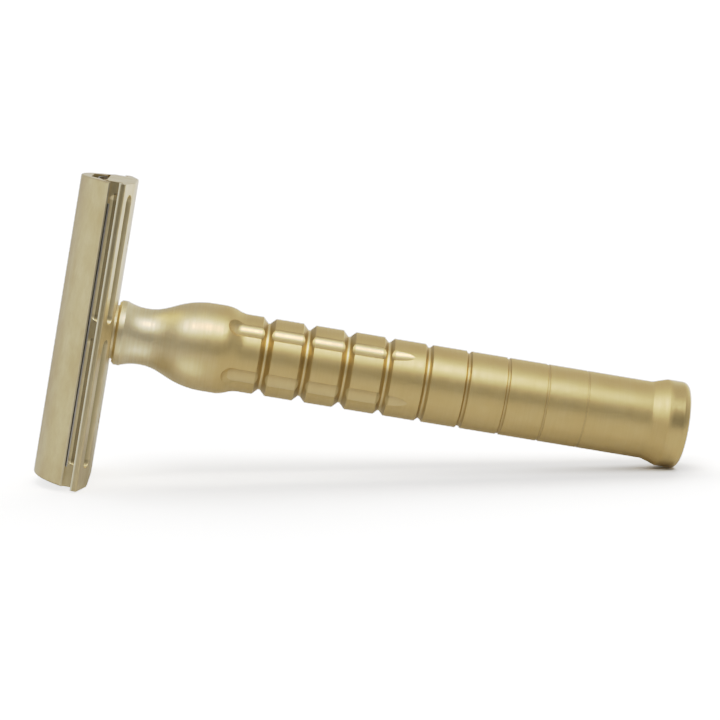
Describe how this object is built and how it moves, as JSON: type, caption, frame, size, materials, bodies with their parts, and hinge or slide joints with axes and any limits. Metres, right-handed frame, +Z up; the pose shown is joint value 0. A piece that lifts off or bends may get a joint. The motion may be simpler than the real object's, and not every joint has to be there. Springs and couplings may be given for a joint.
{
  "type": "safety razor",
  "caption": "Three-piece double-edge safety razor in satin brass: domed cap, slotted guard plate and a turned, fluted and V-grooved handle, lying on its side.",
  "frame": {"origin": "centre of the bounding box in X and Y, on the surface that the razor lies on", "axes": "+Z up, +X from the head towards the handle's end along the lying razor, Y across the head"},
  "size_m": [0.0945, 0.0244, 0.0439],
  "materials": {
    "head_brass": "satin, fine brushing and faint patina",
    "handle_brass": "satin, fine turning marks, smoother flutes",
    "stud_brass": "machined, bright",
    "blade_steel": "ground stainless with honed edges"
  },
  "bodies": {
    "handle": {"handle": "handle_brass"},
    "guard": {"base_plate": "head_brass"},
    "cap_assembly": {"cap": "head_brass", "threaded_stud": "stud_brass", "upper_pin": "stud_brass", "lower_pin": "stud_brass"},
    "blade": {"blade": "blade_steel"}
  },
  "joints": [
    {"name": "handle_turn", "type": "hinge", "parent": "handle", "child": "guard", "pos_m": [-0.03542, 0, 0.02124], "axis": [0.9831, 0, -0.1833], "range_deg": [0, 3600]},
    {"name": "cap_lift", "type": "slide", "parent": "guard", "child": "cap_assembly", "axis": [-0.9831, 0, 0.1833], "range_m": [0, 0.008]},
    {"name": "blade_lift", "type": "slide", "parent": "guard", "child": "blade", "axis": [-0.9831, 0, 0.1833], "range_m": [0, 0.004]}
  ],
  "couplings": [
    {"joint": "cap_lift", "follows": "handle_turn", "m_per_rad": 0.00012732},
    {"joint": "blade_lift", "follows": "handle_turn", "m_per_rad": 0.000063662}
  ]
}
